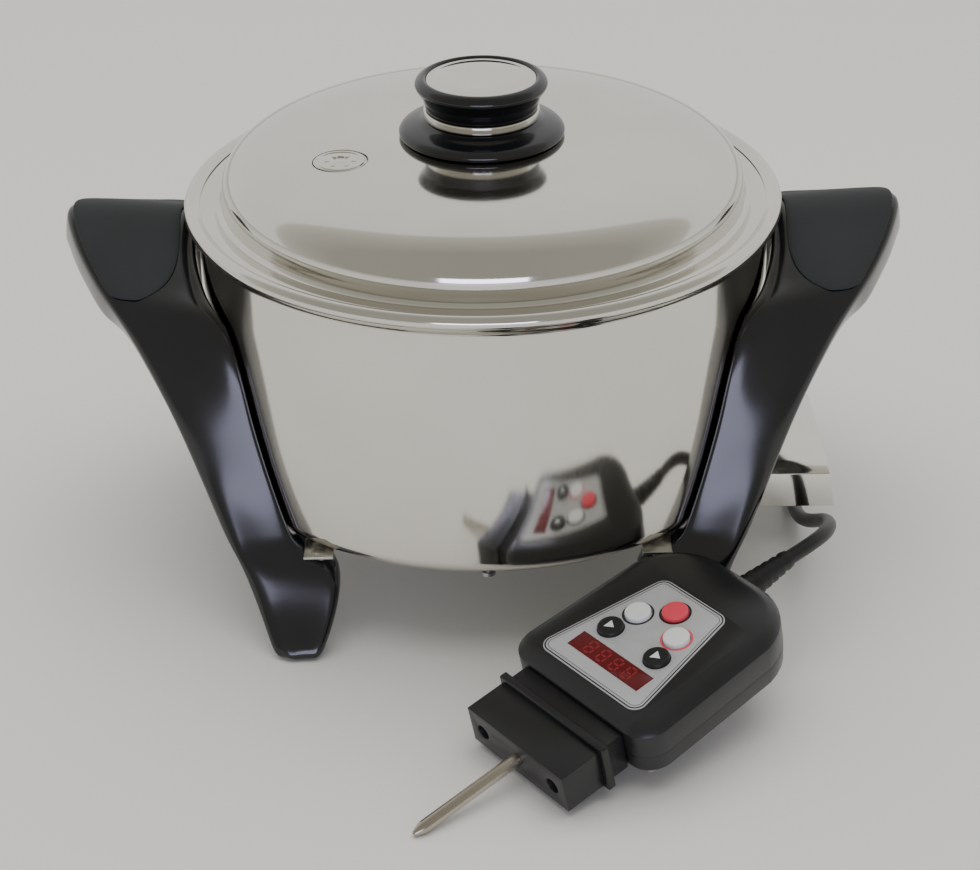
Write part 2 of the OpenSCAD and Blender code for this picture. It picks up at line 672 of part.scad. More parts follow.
// The vent valve: a cap that sits in the lid and lifts on its stem
module valve_cap() {
    stem_l = lid_t + grommet_t + valve_travel + 0.1;
    color("#d3d1ca") placed() translate([valve_at[0], valve_at[1], valve_seat_z]) {
        cylinder(r = valve_r, h = 1.5, $fn = 64);
        for (k = [0 : 5]) rotate([0, 0, 60 * k]) translate([5.4, 0, 1.4])
            cylinder(r = 1.5, h = 0.4, $fn = 24);
        translate([0, 0, 1.4]) ring(valve_r - 1, 0.4, valve_r - 2);
        translate([0, 0, -stem_l]) cylinder(r = valve_stem_r, h = stem_l + 0.2, $fn = 32);
        translate([0, 0, -stem_l - 0.9]) cylinder(r = 4, h = 1, $fn = 32);
    }
}

// ---- Controller -----------------------------------------------------------------------------
module button_holes(r) {
    for (b = button_spots) translate([b[1], b[2], -9]) cylinder(r = r, h = 12, $fn = 48);
}
module collar_mouth() {
    translate([nose_x - 6, 3 - head_hw, axis_z - head_t / 2 + 2])
        cube([collar_l + 7, 2 * head_hw - 6, head_t - 4]);
}
module relief_mouth() {
    translate([tail_x - 3, 0, relief_z]) rotate([0, 90, 0])
        cylinder(r = relief_neck, h = 9, $fn = 48);
}
case_screw_r = 1.4;
boss_r = 3.2;
case_screw_spots = [[nose_x - 6.8, case_hw - 7.8], [tail_x + 9, case_hw - 23]];
module at_case_screws() {
    for (p = case_screw_spots, s = [-1, 1]) translate([p[0], s * p[1], 0]) children();
}
module bosses(z, h) {
    at_case_screws() translate([0, 0, z]) cylinder(r = boss_r, h = h, $fn = 32);
}
module screw_holes() {
    at_case_screws() translate([0, 0, -case_t - 1]) cylinder(r = case_screw_r, h = 30, $fn = 24);
}
module upper_case() {
    color("#2b2c2e") lying() difference() {
        hull() {
            translate([0, 0, seam_z]) linear_extrude(10) case_outline(0);
            translate([0, 0, -4.6]) linear_extrude(1) case_outline(1.4);
            translate([0, 0, top_z - 0.6]) linear_extrude(0.6) case_outline(6);
        }
        translate([0, 0, seam_z - 1]) linear_extrude(9) case_outline(case_wall);
        hull() {
            translate([0, 0, seam_z + 7]) linear_extrude(1) case_outline(case_wall);
            translate([0, 0, roof_z - 1]) linear_extrude(1) case_outline(8);
        }
        translate([0, 0, top_z - panel_t + 0.2]) linear_extrude(5) polygon(tapered_plate(
            -panel_l / 2 - 0.2, panel_back + 0.2, panel_l / 2 + 0.2, panel_front + 0.2, 5));
        button_holes(button_r + fit_gap);
        translate([window_x - window_w / 2 + 1, -window_l / 2 + 1, -9])
            cube([window_w - 2, window_l - 2, 12]);
        collar_mouth();
        relief_mouth();
    }
    color("#2b2c2e") lying() difference() {
        bosses(seam_z, roof_z - seam_z - 2);
        screw_holes();
    }
}
module lower_case() {
    color("#2b2c2e") lying() difference() {
        union() {
            difference() {
                hull() {
                    translate([0, 0, seam_z - seam_gap - 1]) linear_extrude(1)
                        case_outline(0);
                    translate([0, 0, 3 - case_t]) linear_extrude(1) case_outline(0.6);
                    translate([0, 0, -case_t]) linear_extrude(1) case_outline(4);
                }
                translate([0, 0, case_wall - case_t]) linear_extrude(case_t)
                    case_outline(4.2);
                translate([0, 0, 7 - case_t]) linear_extrude(case_t) case_outline(case_wall);
            }
            bosses(1 - case_t, seam_z - seam_gap + case_t - 1);
        }
        screw_holes();
        collar_mouth();
        relief_mouth();
    }
}
module panel_plate() {
    color("#b9bcbc") lying() difference() {
        translate([0, 0, top_z - panel_t + 0.2]) linear_extrude(panel_t) polygon(tapered_plate(
            -panel_l / 2, panel_back, panel_l / 2, panel_front, 5));
        button_holes(button_r + fit_gap);
        translate([window_x - window_w / 2, -window_l / 2, -4]) cube([window_w, window_l, 6]);
    }
}
module display_window() {
    color("#6e191e") lying()
        translate([window_x - window_w / 2, -window_l / 2, top_z - panel_t + 0.2])
            cube([window_w, window_l, panel_t + 0.1]);
}
module display_module() {
    color("#2a1516") lying() translate([window_x - 5.4, -window_l / 2 - 1, board_z + board_t])
        cube([10.8, window_l + 2, top_z - 3.2 - board_z - board_t]);
}
module circuit_board() {
    hw = case_hw - 9;
    color("#2f6b3a") lying() translate([0, 0, board_z]) linear_extrude(board_t)
        polygon([[tail_x + 14, 12 - hw], [tail_x + 26, -hw], [nose_x - 14, -hw],
            [nose_x - 8, 6 - hw], [nose_x - 8, hw - 6], [nose_x - 14, hw], [tail_x + 26, hw],
            [tail_x + 14, hw - 12]]);
}
switch_top = board_z + board_t + switch_h;
module tact_switches() {
    color("#3c3c3e") lying() for (b = button_spots) translate([b[1], b[2], board_z + board_t]) {
        translate([-3, -3, 0]) cube([6, 6, 2.6]);
        cylinder(r = 1.7, h = switch_h, $fn = 24);
    }
}
module relay() {
    color("#3b5f8f") lying() translate([-30, -14, board_z - 11]) cube([18, 15, 11]);
}
module capacitor() {
    color("#39424c") lying() translate([-22, 9, board_z - 12])
        cylinder(r = 5, h = 12, $fn = 32);
}

module plug_collar() {
    color("#232426") lying() difference() {
        union() {
            translate([nose_x, -head_hw, axis_z - head_t / 2])
                cube([collar_l, 2 * head_hw, head_t]);
            translate([head_x - flange_l, -collar_hw, axis_z - collar_t / 2])
                cube([flange_l, 2 * collar_hw, collar_t]);
        }
        collar_mouth();
    }
}
module plug_head() {
    color("#232426") lying() difference() {
        translate([head_x, -head_hw, axis_z - head_t / 2]) cube([head_l, 2 * head_hw, head_t]);
        for (s = [-1, 1]) translate([head_x - 1, s * pin_y, axis_z]) rotate([0, 90, 0])
            cylinder(r = sleeve_r, h = head_l + 2, $fn = 32);
        translate([head_x - 1, 0, axis_z]) rotate([0, 90, 0])
            cylinder(r = probe_r, h = head_l + 2, $fn = 32);
    }
}
// Spring sleeves that grip the terminal pins, closed at the back
module contact_sleeves() {
    sleeve_l = head_l + 2;
    color("#c9a44d") lying() for (s = [-1, 1]) translate([head_x - 5, s * pin_y, axis_z])
        rotate([0, 90, 0]) difference() {
            cylinder(r = sleeve_r, h = sleeve_l, $fn = 32);
            translate([0, 0, 3]) cylinder(r = pin_r + slide_gap, h = sleeve_l, $fn = 32);
        }
}
module contact_straps() {
    color("#c9a44d") lying() for (s = [-1, 1]) {
        translate([nose_x - 14, s * pin_y - 2, axis_z - 0.6])
            cube([head_x - 5 - nose_x + 14, 4, 1.2]);
        translate([nose_x - 14, s * pin_y - 2, axis_z + 0.6])
            cube([1.2, 4, board_z - axis_z - 0.6]);
    }
}
module probe_stem() {
    color("#b3ada0") lying() translate([nose_x - 6, 0, axis_z]) rotate([0, 90, 0])
        difference() {
            union() {
                cylinder(r = probe_r, h = probe_tip - probe_point - nose_x + 6, $fn = 32);
                translate([0, 0, probe_tip - probe_point - nose_x + 6])
                    cylinder(r1 = probe_r, r2 = 0.9, h = probe_point, $fn = 32);
            }
            translate([0, 0, -1])
                cylinder(r = probe_r - 0.6, h = probe_tip - nose_x, $fn = 32);
        }
}
module probe_sensor() {
    color("#6f7c52") lying() translate([probe_tip - 13.2, 0, axis_z]) rotate([0, 90, 0])
        cylinder(r = probe_r - 0.7, h = 6, $fn = 24);
}
module case_screws() {
    color("#8f9092") lying() at_case_screws() {
        translate([0, 0, -case_t - 0.8]) cylinder(r = 2.4, h = 0.8, $fn = 32);
        translate([0, 0, -case_t - 0.2])
            cylinder(r = case_screw_r, h = case_t + board_z - 1, $fn = 24);
    }
}
module strain_relief() {
    color("#222325") lying() translate([tail_x + case_wall + 2.2, 0, relief_z])
        rotate([0, -90, 0]) rotate_extrude($fn = 48)
            polygon([[0, 0], [relief_neck + 1.4, 0], [relief_neck + 1.4, 2], [relief_neck, 2],
                [relief_neck, case_wall + 2.4], [relief_r + 0.6, case_wall + 2.4],
                [relief_r - 1, relief_l + case_wall + 1.4],
                [relief_r - 1.5, relief_l + case_wall + 2.2],
                [0, relief_l + case_wall + 2.2]]);
}

module button(i, tint) {
    b = button_spots[i];
    color(tint) lying() translate([b[1], b[2], 0]) {
        translate([0, 0, roof_z - 1]) cylinder(r = button_r, h = 1 - roof_z + 0.7, $fn = 48);
        translate([0, 0, roof_z - fit_gap - 0.8])
            cylinder(r = button_r + 1, h = 0.8, $fn = 48);
        translate([0, 0, switch_top + slide_gap + button_travel])
            cylinder(r = 1.5, h = roof_z - 0.9 - switch_top - slide_gap - button_travel,
                $fn = 24);
    }
}
module button_off() { button(0, "#e0445a"); }
module button_time() { button(1, "#e6e9ec"); }
module button_temp() { button(2, "#f0d4d8"); }
module button_up() { button(3, "#1c1d1f"); }
module button_down() { button(4, "#1c1d1f"); }

// ---- Cord -----------------------------------------------------------------------------------
// The outer shape of two turns that climb one diameter each
coil_h = 3 * cord_d;
module cord_lead() {
    color("#1f2022") placed() cord_tube(concat([relief_end + turned([0.2, 0, 0])], lead_route));
}
module cord_coil() {
    color("#1f2022") placed() translate([coil_at[0], coil_at[1], 0])
        ring(coil_r + cord_d / 2, coil_h, coil_r - cord_d / 2);
}
module coil_tie() {
    color("#2b2b2d") placed() translate([coil_at[0], coil_at[1], 0]) rotate([0, 0, 40])
        translate([coil_r - cord_d / 2 - 1.3, -4, 0]) difference() {
            cube([cord_d + 2.6, 8, coil_h + 1]);
            translate([1, -1, -1]) cube([cord_d + 0.6, 10, coil_h + 1]);
        }
}
module cord_tail() {
    color("#1f2022") placed() cord_tube(tail_route);
}
plug_at = [-44, 139, 0];
plug_turn = 172;
module plug_body() {
    color("#202123") placed() translate(plug_at) rotate([0, 0, plug_turn]) {
        difference() {
            hull() {
                translate([0, -4.5, 0.6]) cube([2, 9, 9]);
                translate([10, -11, 0]) cube([14, 22, 14]);
            }
            for (s = [-1, 1]) translate([14, s * 6.35 - 0.75, 4]) cube([12, 1.5, 6.4]);
        }
    }
}
module plug_blades() {
    color("#c9a44d") placed() translate(plug_at) rotate([0, 0, plug_turn])
        for (s = [-1, 1]) translate([14, s * 6.35 - 0.75, 4]) cube([27, 1.5, 6.4]);
}

pot_body();
core_plate();
heating_element();
sensor_block();
base_cover();
base_screws();
terminal_box();
terminal_insulator();
terminal_pins();
thermowell();
socket_guard();
guard_screws();
leg_tabs();
leg_screws();
handle_left();
handle_right();
grip_left();
grip_right();
bracket_left();
bracket_right();
bracket_screws();
foot_pads();
lid_shell();
knob_gasket();
knob_bell();
knob_band();
knob_grip();
knob_disc();
knob_insert();
knob_screw();
valve_grommet();
valve_cap();
upper_case();
lower_case();
panel_plate();
display_window();
display_module();
circuit_board();
tact_switches();
relay();
capacitor();
plug_collar();
plug_head();
contact_sleeves();
contact_straps();
probe_stem();
probe_sensor();
case_screws();
strain_relief();
button_off();
button_time();
button_temp();
button_up();
button_down();
cord_lead();
cord_coil();
coil_tie();
cord_tail();
plug_body();
plug_blades();
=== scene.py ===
# %% [markdown]
# # An electric slow cooker with a plug-in controller
# The cooker is a polished steel vessel that hangs between two arched black handles, which are
# also its legs. A domed lid with a turned knob and a vent valve closes it. The controller lies
# unplugged beside it, with its probe, two contact sockets and cord.
# The model's frame is loaded first: its parts have their true sizes and places, and every
# piece made here is put on them.

# %% Load the frame
import math

import bmesh
import bpy
from mathutils import Matrix, Vector


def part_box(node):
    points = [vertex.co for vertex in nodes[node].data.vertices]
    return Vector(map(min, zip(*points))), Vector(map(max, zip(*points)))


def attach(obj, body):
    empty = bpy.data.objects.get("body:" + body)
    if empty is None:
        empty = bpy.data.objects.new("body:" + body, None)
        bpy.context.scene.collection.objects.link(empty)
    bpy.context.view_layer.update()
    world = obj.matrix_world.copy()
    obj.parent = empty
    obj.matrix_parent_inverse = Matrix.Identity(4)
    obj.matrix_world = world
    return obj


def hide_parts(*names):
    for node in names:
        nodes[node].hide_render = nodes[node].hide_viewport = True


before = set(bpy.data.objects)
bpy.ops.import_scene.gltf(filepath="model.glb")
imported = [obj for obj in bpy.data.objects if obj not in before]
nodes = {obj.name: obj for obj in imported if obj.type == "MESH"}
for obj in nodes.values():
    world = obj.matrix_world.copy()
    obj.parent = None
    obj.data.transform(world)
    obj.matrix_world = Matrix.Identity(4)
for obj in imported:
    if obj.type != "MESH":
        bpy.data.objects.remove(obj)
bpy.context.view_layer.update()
MM = 0.001
low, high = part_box("pot_body")
AXIS_Y = (low.y + high.y) / 2
POT = Matrix.Translation((0, AXIS_Y, 0))

# %% [markdown]
# ## Camera
# A long lens from a little above keeps the vessel's walls nearly upright. The camera looks down
# by 29.9 degrees and leans very slightly to one side. Its distance is measured from the vessel's
# axis.

# %% Camera
CAMERA_BACK, CAMERA_HEIGHT = 0.8333, 0.518
SENSOR_MM, LENS_MM = 36, 78.7592
pitch, yaw, roll = math.radians(29.9), 0.002, -0.0135
forward = Vector((math.sin(yaw) * math.cos(pitch), math.cos(yaw) * math.cos(pitch),
                  -math.sin(pitch)))
level = Vector((math.cos(yaw), -math.sin(yaw), 0))
upward = level.cross(forward)
right = math.cos(roll) * level + math.sin(roll) * upward
upward = math.cos(roll) * upward - math.sin(roll) * level
camera_data = bpy.data.cameras.new("camera")
camera_data.sensor_width = SENSOR_MM
camera_data.lens = LENS_MM
camera = bpy.data.objects.new("camera", camera_data)
camera.matrix_world = Matrix((
    (right.x, upward.x, -forward.x, 0),
    (right.y, upward.y, -forward.y, AXIS_Y - CAMERA_BACK),
    (right.z, upward.z, -forward.z, CAMERA_HEIGHT),
    (0, 0, 0, 1)))
bpy.context.scene.collection.objects.link(camera)
bpy.context.scene.camera = camera

# %% [markdown]
# ## Helpers for materials
# Hex colours are what the eye sees, and shaders work in linear light, so one function turns
# the first into the second. One more adds a node with its settings and its links.

# %% Colours and nodes
def linear(hex_colour):
    """Linear red, green, blue and alpha of an sRGB colour such as '#c9c7c0'."""
    parts = [int(hex_colour[i:i + 2], 16) / 255 for i in (1, 3, 5)]
    return [p / 12.92 if p <= 0.04045 else ((p + 0.055) / 1.055) ** 2.4 for p in parts] + [1]


def add_node(tree, kind, settings=None, links=None):
    """Adds a node; settings are its properties or input values, links its input sources."""
    made = tree.nodes.new(kind)
    for name, value in (settings or {}).items():
        if isinstance(name, str) and hasattr(made, name):
            setattr(made, name, value)
        else:
            made.inputs[name].default_value = value
    for name, source in (links or {}).items():
        tree.links.new(source, made.inputs[name])
    return made


def new_surface(name):
    """An empty material with its tree, shader and the piece's own coordinates."""
    material = bpy.data.materials.new(name)
    material.use_nodes = True
    tree = material.node_tree
    shader = tree.nodes["Principled BSDF"]
    place = tree.nodes.new("ShaderNodeTexCoord").outputs["Object"]
    return material, tree, shader, place


def set_ramp(ramp, stops):
    """Gives a colour ramp its stops: pairs of a position and a linear colour."""
    while len(ramp.color_ramp.elements) < len(stops):
        ramp.color_ramp.elements.new(0.5)
    for element, (position, colour) in zip(ramp.color_ramp.elements, stops):
        element.position, element.color = position, colour
    return ramp


# %% [markdown]
# ## Sheet metals
# The vessel and lid are stainless steel, drawn in a press and polished on a wheel. A metal's
# colour is its reflection, so the base colour is a warm light grey. Fine wheel marks give the
# mirror a soft edge: they are stretched noise, drawn coarser than real ones so they show.

# %% Metals
def worked_metal(name, dark, light, rough, spread, grain_mm, stretch, dent):
    """A metal with a cloudy tone, whose roughness follows both its marks and the cloud; stretch
    draws the marks out.
    """
    material, tree, shader, place = new_surface(name)
    marks = add_node(tree, "ShaderNodeMapping", {"Scale": stretch}, {"Vector": place})
    fine = add_node(tree, "ShaderNodeTexNoise",
                    {"Scale": 1 / (grain_mm * MM), "Detail": 4.0, "Roughness": 0.6},
                    {"Vector": marks.outputs["Vector"]})
    cloudy = add_node(tree, "ShaderNodeTexNoise", {"Scale": 14.0, "Detail": 3.0},
                      {"Vector": place})
    tone = set_ramp(add_node(tree, "ShaderNodeValToRGB", links={"Fac": cloudy.outputs["Fac"]}),
                    [(0.3, linear(dark)), (0.7, linear(light))])
    both = add_node(tree, "ShaderNodeMath", {"operation": "ADD"},
                    {0: fine.outputs["Fac"], 1: cloudy.outputs["Fac"]})
    rougher = add_node(tree, "ShaderNodeMapRange",
                       {"From Min": 0.7, "From Max": 1.3, "To Min": rough,
                        "To Max": rough + spread}, {"Value": both.outputs["Value"]})
    bump = add_node(tree, "ShaderNodeBump", {"Strength": 0.25, "Distance": dent * MM},
                    {"Height": fine.outputs["Fac"]})
    shader.inputs["Metallic"].default_value = 1.0
    tree.links.new(tone.outputs["Color"], shader.inputs["Base Color"])
    tree.links.new(rougher.outputs["Result"], shader.inputs["Roughness"])
    tree.links.new(bump.outputs["Normal"], shader.inputs["Normal"])
    return material


polished_steel = worked_metal("polished_stainless_steel", "#dcd9d1", "#e4e2da",
                              0.07, 0.05, 1.2, (1, 1, 0.25), 0.002)
satin_steel = worked_metal("satin_stainless_sheet", "#c4c2bb", "#d2d0c9",
                           0.24, 0.12, 0.7, (1, 0.08, 1), 0.01)
screw_steel = worked_metal("zinc_plated_screw", "#a9a9a8", "#bdbdbb",
                           0.3, 0.12, 0.4, (1, 1, 1), 0.01)
cast_aluminium = worked_metal("cast_aluminium", "#bfc1c3", "#d0d2d4",
                              0.42, 0.15, 0.9, (1, 1, 1), 0.03)
element_sheath = worked_metal("heat_darkened_sheath", "#6b6258", "#8a8175",
                              0.42, 0.18, 0.8, (1, 1, 1), 0.02)
contact_brass = worked_metal("rolled_brass", "#c7a357", "#d9b96b",
                             0.26, 0.1, 0.6, (0.1, 1, 1), 0.008)
probe_steel = worked_metal("drawn_probe_steel", "#b5ada0", "#c9c2b5",
                           0.2, 0.12, 0.5, (0.25, 1, 1), 0.006)

# %% [markdown]
# ## Moulded plastics and rubber
# The handles and knob are black phenolic, pressed hot in a polished mould: glossy, with a skin
# that ripples very slightly. The controller is ABS from a spark-eroded mould, so it has a fine
# even grain. Rubber is duller and slightly dusty.

# %% Plastics
def moulded(name, dark, light, rough, grain_mm, dent, ior=1.5, spread=0.08):
    """A moulded skin: cloudy tone, grain of a real size and roughness that follows the tone."""
    material, tree, shader, place = new_surface(name)
    grain = add_node(tree, "ShaderNodeTexNoise",
                     {"Scale": 1 / (grain_mm * MM), "Detail": 3.0}, {"Vector": place})
    cloudy = add_node(tree, "ShaderNodeTexNoise", {"Scale": 25.0, "Detail": 2.0},
                      {"Vector": place})
    tone = set_ramp(add_node(tree, "ShaderNodeValToRGB", links={"Fac": cloudy.outputs["Fac"]}),
                    [(0.35, linear(dark)), (0.65, linear(light))])
    rougher = add_node(tree, "ShaderNodeMapRange",
                       {"From Min": 0.3, "From Max": 0.7, "To Min": rough,
                        "To Max": rough + spread}, {"Value": cloudy.outputs["Fac"]})
    bump = add_node(tree, "ShaderNodeBump", {"Strength": 0.3, "Distance": dent * MM},
                    {"Height": grain.outputs["Fac"]})
    shader.inputs["IOR"].default_value = ior
    tree.links.new(tone.outputs["Color"], shader.inputs["Base Color"])
    tree.links.new(rougher.outputs["Result"], shader.inputs["Roughness"])
    tree.links.new(bump.outputs["Normal"], shader.inputs["Normal"])
    return material


black_phenolic = moulded("black_phenolic", "#0c0d11", "#121318", 0.13, 3.0, 0.02, 1.62, 0.06)
soft_grip = moulded("soft_black_grip", "#26282a", "#2e3032", 0.62, 0.5, 0.06, 1.45)
case_abs = moulded("black_abs", "#17181a", "#1e1f21", 0.3, 0.4, 0.03, 1.53)
head_abs = moulded("black_plug_plastic", "#141517", "#1a1b1d", 0.3, 0.4, 0.03, 1.53)
overlay_grey = moulded("silver_grey_overlay", "#b3b6b8", "#babdbf", 0.34, 0.3, 0.01, 1.5)
window_red = moulded("dark_red_acrylic", "#5d0d12", "#67121a", 0.09, 4.0, 0.004, 1.49, 0.03)
digit_red = moulded("unlit_segment", "#8a2226", "#92282c", 0.3, 0.3, 0.004, 1.49)
outline_black = moulded("printed_black", "#1a1b1d", "#222326", 0.4, 0.3, 0.004, 1.5)
cap_red = moulded("red_button", "#e8485a", "#ee5062", 0.3, 0.5, 0.006, 1.5)
cap_white = moulded("white_button", "#e6e9ec", "#eef0f2", 0.3, 0.5, 0.006, 1.5)
cap_black = moulded("black_button", "#1b1c1e", "#232427", 0.3, 0.5, 0.006, 1.5)
case_rubber = moulded("black_rubber", "#1b1b1d", "#242426", 0.6, 0.6, 0.05, 1.5)
cord_pvc = moulded("black_pvc_sheath", "#18181a", "#202023", 0.38, 0.8, 0.03, 1.5)
red_silicone = moulded("red_silicone", "#93392c", "#a34434", 0.5, 0.6, 0.03, 1.42)
steatite = moulded("steatite", "#d3ccbd", "#dfd9cb", 0.7, 0.5, 0.05, 1.6)
board_green = moulded("glass_fibre_board", "#24572f", "#2f6b3a", 0.35, 0.7, 0.02, 1.55)
relay_blue = moulded("blue_relay_casing", "#31568a", "#3b6199", 0.35, 0.5, 0.02, 1.5)
dark_part = moulded("dark_moulding", "#2e3236", "#3a3f45", 0.4, 0.5, 0.02, 1.5)

# %% [markdown]
# ## Helpers for pieces
# A round piece is a profile spun about the vessel's axis. A folded or boxy piece starts from
# the frame's own part: its loose triangles are welded, flat faces are made whole again, and
# the sharp edges get the small radius that pressing or moulding leaves. Every finished piece
# rides on its body, and stands for the frame's part.

# %% Pieces
WELD = 2e-6


def arc_points(x, z, radius, start, end, count=8):
    """Points on an arc in a profile, angles in degrees."""
    return [(x + radius * math.cos(math.radians(start + (end - start) * i / count)),
             z + radius * math.sin(math.radians(start + (end - start) * i / count)))
            for i in range(count + 1)]


def spun(profile, steps=144, place=POT):
    """A bmesh of a closed profile in millimetres, spun about its own upright axis."""
    bm = bmesh.new()
    line = [bm.verts.new((x * MM, 0, z * MM)) for x, z in profile]
    edges = [bm.edges.new(pair) for pair in zip(line, line[1:] + line[:1])]
    bmesh.ops.spin(bm, geom=line + edges, cent=(0, 0, 0), axis=(0, 0, 1), dvec=(0, 0, 0),
                   angle=2 * math.pi, steps=steps, use_merge=True)
    bmesh.ops.remove_doubles(bm, verts=bm.verts, dist=WELD)
    bmesh.ops.recalc_face_normals(bm, faces=bm.faces)
    bmesh.ops.transform(bm, matrix=place, verts=bm.verts)
    return bm


def soften(bm, width, angle):
    """Rounds every edge that is sharper than the angle, by a width in millimetres."""
    sharp = [e for e in bm.edges if len(e.link_faces) == 2
             and e.calc_face_angle(0) > math.radians(angle)]
    if sharp:
        bmesh.ops.bevel(bm, geom=sharp, offset=width * MM, offset_type="OFFSET",
                        segments=2, profile=0.5, affect="EDGES", material=-1,
                        clamp_overlap=True)


def welded(node, width=0.3, angle=35):
    """A bmesh of a frame part with whole faces and softened edges."""
    bm = bmesh.new()
    bm.from_mesh(nodes[node].data)
    bmesh.ops.remove_doubles(bm, verts=bm.verts, dist=WELD)
    bmesh.ops.dissolve_limit(bm, angle_limit=math.radians(1), verts=bm.verts, edges=bm.edges)
    soften(bm, width, angle)
    return bm


def finished(bm, name, material, body, stands_for=(), smooth=40):
    """Makes the object, shades it, and puts it on its body in the frame."""
    mesh = bpy.data.meshes.new(name)
    bm.to_mesh(mesh)
    bm.free()
    mesh.polygons.foreach_set("use_smooth", [True] * len(mesh.polygons))
    mesh.set_sharp_from_angle(angle=math.radians(smooth))
    mesh.materials.append(material)
    piece = bpy.data.objects.new(name, mesh)
    bpy.context.scene.collection.objects.link(piece)
    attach(piece, body)
    if stands_for:
        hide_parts(*stands_for)
    return piece


def joined(target, other):
    """Adds another bmesh's faces to the first."""
    mesh = bpy.data.meshes.new("part")
    other.to_mesh(mesh)
    other.free()
    target.from_mesh(mesh)
    bpy.data.meshes.remove(mesh)
    return target


# %% [markdown]
# ## The cord
# The lead leaves the controller's strain relief, drops to the table, runs under the socket's
# hood and round behind the vessel, where the spare length lies in a small coil with its plug.
# Its line is one smooth curve through the route's points, which are measured from the vessel's
# axis. The coil is a helix of two turns.

# %% Where the controller lies
CASE_TURN, CASE_TILT = math.radians(217.8), math.radians(12)
FACE_X, FACE_Y = 58.3, -159.4
TIP_X, TIP_Z = 111, -18.1  # the probe's tip on the case's axes, where it touches the table
CASE_Z = math.sin(CASE_TILT) * TIP_X - math.cos(CASE_TILT) * TIP_Z
CASE = (POT @ Matrix.Translation((FACE_X * MM, FACE_Y * MM, CASE_Z * MM))
        @ Matrix.Rotation(CASE_TURN, 4, "Z") @ Matrix.Rotation(CASE_TILT, 4, "Y"))
RELIEF_END, RELIEF_Z = -78, -14

# %% The cord's line
CORD_D, COIL_R, STEPS_A_TURN = 6.2, 34, 24
COIL_AT = (25, 172)
LEAD = [(129.5, -104.2, 44.9), (136.6, -95.9, 44.6), (141, -85, 41.6), (142.6, -72.5, 36.2),
        (142.2, -59.5, 28.8), (140.8, -46.5, 20.4), (139.4, -33, 12.8), (138.8, -19, 7.2),
        (139, -4, 4), (140, 13, 3.1), (140, 36, 3.1), (137, 60, 3.1), (131, 84, 3.1),
        (121, 106, 3.1), (107, 123, 3.1), (90, 133.4, 3.1), (70, 137.4, 3.1), (48, 138, 3.1)]
TAIL = [(10, 137.6, 15), (-5, 136.8, 12.4), (-19, 136.4, 9), (-32, 137.2, 6.4), (-44, 139, 5.4)]


def smooth_line(points, between):
    """A curve through the points, with some more points between each pair."""
    line = []
    for i in range(len(points) - 1):
        b, c = points[i], points[i + 1]
        a = points[i - 1] if i else 2 * b - c
        d = points[i + 2] if i + 2 < len(points) else 2 * c - b
        for t in [step / between for step in range(between)]:
            line.append(0.5 * (2 * b + (c - a) * t + (2 * a - 5 * b + 4 * c - d) * t * t
                               + (3 * b - a - 3 * c + d) * t ** 3))
    return line + [points[-1]]


def coil_point(turn):
    """A point on the coil, by turns from its start; it climbs one cord's thickness a turn."""
    angle = -math.pi / 2 - 2 * math.pi * turn
    return POT @ (Vector((COIL_AT[0] + COIL_R * math.cos(angle),
                          COIL_AT[1] + COIL_R * math.sin(angle),
                          CORD_D / 2 + CORD_D * turn)) * MM)


relief_end = CASE @ Vector((RELIEF_END * MM, 0, RELIEF_Z * MM))
on_table = [POT @ (Vector(p) * MM) for p in LEAD]
helix = [coil_point(k / STEPS_A_TURN) for k in range(2 * STEPS_A_TURN + 1)]
loose_end = [POT @ (Vector(p) * MM) for p in TAIL]
cord_line = smooth_line([relief_end] + on_table + helix + loose_end, 3)

cord_curve = bpy.data.curves.new("cord", "CURVE")
cord_curve.dimensions = "3D"
cord_curve.bevel_depth = CORD_D / 2 * MM
cord_curve.bevel_resolution = 4
cord_curve.use_fill_caps = True
spline = cord_curve.splines.new("POLY")
spline.points.add(len(cord_line) - 1)
for point, place in zip(spline.points, cord_line):
    point.co = (*place, 1)
spline.use_smooth = True
cord_curve.materials.append(cord_pvc)
cord = bpy.data.objects.new("cord", cord_curve)
bpy.context.scene.collection.objects.link(cord)
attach(cord, "controller")
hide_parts("cord_lead", "cord_coil", "cord_tail")

# %% The plug and the tie
plug = finished(welded("plug_body", 1.2, 20), "mains_plug", head_abs, "controller",
                ["plug_body"])
blades = finished(welded("plug_blades", 0.3), "mains_blades", contact_brass, "controller",
                  ["plug_blades"])
tie = finished(welded("coil_tie", 0.3), "cord_tie", dark_part, "controller",
               ["coil_tie"])

# %% [markdown]
# ## The vessel
# One sheet drawn into a straight wall, with a rounded lower edge, an outward rolled lip and a
# step inside it where the lid rests. The whole wall is one profile, spun.

# %% Vessel
WALL_R, BORE_R, RIM_R, LEDGE_R, EDGE_R = 120, 117, 125, 118.6, 7
RIM_Z, LEDGE_Z, BASE_Z, FLOOR_Z = 160, 157, 42, 55
vessel_profile = (
    [(0, FLOOR_Z - 2), (BORE_R, FLOOR_Z - 2), (BORE_R, BASE_Z + 1.2), (BORE_R - 6, BASE_Z + 1.2),
     (BORE_R - 6, BASE_Z)]
    + arc_points(WALL_R - EDGE_R, BASE_Z + EDGE_R, EDGE_R, -90, 0, 14)
    + [(WALL_R, BASE_Z + k) for k in (30, 60, 90)]
    + [(WALL_R, RIM_Z - 10.5), (WALL_R + 0.15, RIM_Z - 9.6), (WALL_R + 0.5, RIM_Z - 8.6)]
    + arc_points(RIM_R - 3, RIM_Z - 3, 3, -60, 140, 18)
    + [(LEDGE_R, LEDGE_Z + 1.2), (LEDGE_R, LEDGE_Z), (BORE_R, LEDGE_Z)]
    + [(BORE_R, 120), (BORE_R, 80)]
    + arc_points(BORE_R - EDGE_R, FLOOR_Z + EDGE_R, EDGE_R, 0, -90, 12)
    + [(60, FLOOR_Z), (0, FLOOR_Z)])
